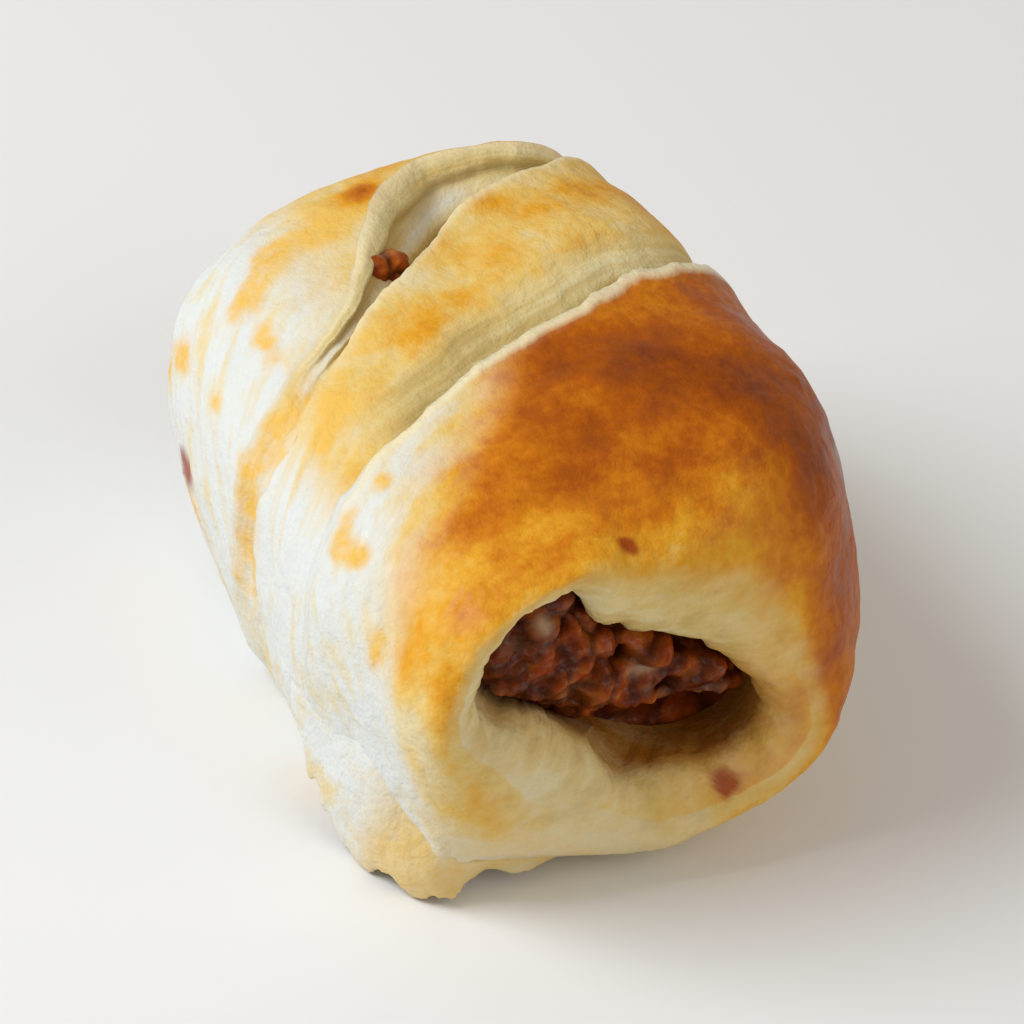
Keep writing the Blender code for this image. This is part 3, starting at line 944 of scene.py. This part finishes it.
def meat_finish():
    """Moist mince: dark red brown, darkened in its hollows by painted shade, with paler bits of fat."""
    made, tree, shader = node_tree("sausage_meat")
    objects = add(tree, "ShaderNodeTexCoord").outputs["Object"]
    mottle = noise_value(tree, objects, 380, 4.0, 0.6)
    speckle = noise_value(tree, objects, 1300, 3.0, 0.6)
    lean = colour_steps(tree, mottle, MEAT_COLOURS)
    # Painted shade darkening the hollows.
    surface = blend_colours(tree, times(tree, mask(tree, "pit_shade"), 0.95), lean, PIT_SHADE)
    surface = blend_colours(tree, mask(tree, "fat"), surface, FAT_WHITE)
    tree.links.new(surface, shader.inputs["Base Color"])
    tree.links.new(plus(tree, 0.10, times(tree, speckle, 0.60)), shader.inputs["Roughness"])
    shader.inputs["Specular IOR Level"].default_value = 0.10
    shader.inputs["Coat Roughness"].default_value = 0.10
    wet = times(tree, minus(tree, speckle, 0.50), 4.0, clamp=True)
    tree.links.new(wet, shader.inputs["Coat Weight"])
    bumped(tree, shader, speckle, 0.5, 0.0003)
    return made


def dress(piece, finish, node):
    """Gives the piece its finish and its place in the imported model."""
    piece.data.materials.clear()
    piece.data.materials.append(finish)
    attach(piece, "root")
    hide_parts(node)


def make_floor():
    """A plain pale floor, and a world that is white behind it."""
    clear_selection()
    bpy.ops.mesh.primitive_plane_add(size=12, location=(0, 0, 0))
    floor = take("floor")
    made, tree, shader = node_tree("pale_floor")
    shader.inputs["Base Color"].default_value = (*FLOOR_WHITE, 1)
    shader.inputs["Roughness"].default_value = 0.8
    shader.inputs["Specular IOR Level"].default_value = 0.2
    floor.data.materials.append(made)
    world = bpy.data.worlds.new("studio")
    bpy.context.scene.world = world
    world.use_nodes = True
    tree = world.node_tree
    plain = tree.nodes["Background"]
    plain.inputs["Color"].default_value = (*SKY_WARM, 1)
    plain.inputs["Strength"].default_value = 0.36
    white = add(tree, "ShaderNodeBackground")
    white.inputs["Color"].default_value = (*BACKDROP_WHITE, 1)
    seen = add(tree, "ShaderNodeLightPath")
    either = add(tree, "ShaderNodeMixShader")
    tree.links.new(seen.outputs["Is Camera Ray"], either.inputs[0])
    tree.links.new(plain.outputs[0], either.inputs[1])
    tree.links.new(white.outputs[0], either.inputs[2])
    tree.links.new(either.outputs[0], tree.nodes["World Output"].inputs["Surface"])


def make_light(name, place, size, power, colour):
    """A soft square light that faces the roll."""
    clear_selection()
    bpy.ops.object.light_add(type="AREA", location=place)
    light = bpy.context.object
    light.name = name
    light.data.shape = "SQUARE"
    light.data.size = size
    light.data.energy = power
    light.data.color = colour
    light.rotation_mode = "QUATERNION"
    light.rotation_quaternion = (Vector(place) - Vector(LIT_AT)).to_track_quat("Z", "Y")


def make_camera():
    """Looks down on the roll's left front, rolled a little, from some way off."""
    azimuth, elevation = math.radians(VIEW_ROUND), math.radians(VIEW_UP)
    forth = math.cos(elevation)
    away = Vector((math.sin(azimuth) * forth, -math.cos(azimuth) * forth, math.sin(elevation)))
    turn = away.to_track_quat("Z", "Y") @ Quaternion((0, 0, 1), math.radians(VIEW_ROLL))
    right, up = turn @ Vector((1, 0, 0)), turn @ Vector((0, 1, 0))
    aim = Vector(VIEW_AIM) - right * VIEW_SHIFT[0] - up * VIEW_SHIFT[1]
    bpy.ops.object.camera_add(location=aim + away * VIEW_AWAY)
    camera = bpy.context.object
    camera.name = "camera"
    camera.rotation_mode = "QUATERNION"
    camera.rotation_quaternion = turn
    camera.data.sensor_width = SENSOR
    camera.data.lens = SENSOR * VIEW_AWAY / VIEW_WIDTH
    camera.data.clip_start = 0.01
    bpy.context.scene.camera = camera


make_camera()
pastry = pastry_finish()
wrap = make_wrap()
meat = make_meat()
dress(wrap, pastry, "pastry_wrap")
dress(make_torn_seam(), pastry, "pastry_wrap")
dress(meat, meat_finish(), "sausage_meat")
make_floor()
make_light("window", (-0.46, 0.12, 0.42), 0.36, 3.2, (0.96, 0.98, 1.0))
make_light("room", (0.40, -0.42, 0.40), 0.6, 1.1, (1.0, 0.95, 0.88))
bpy.context.scene.view_settings.view_transform = "Standard"
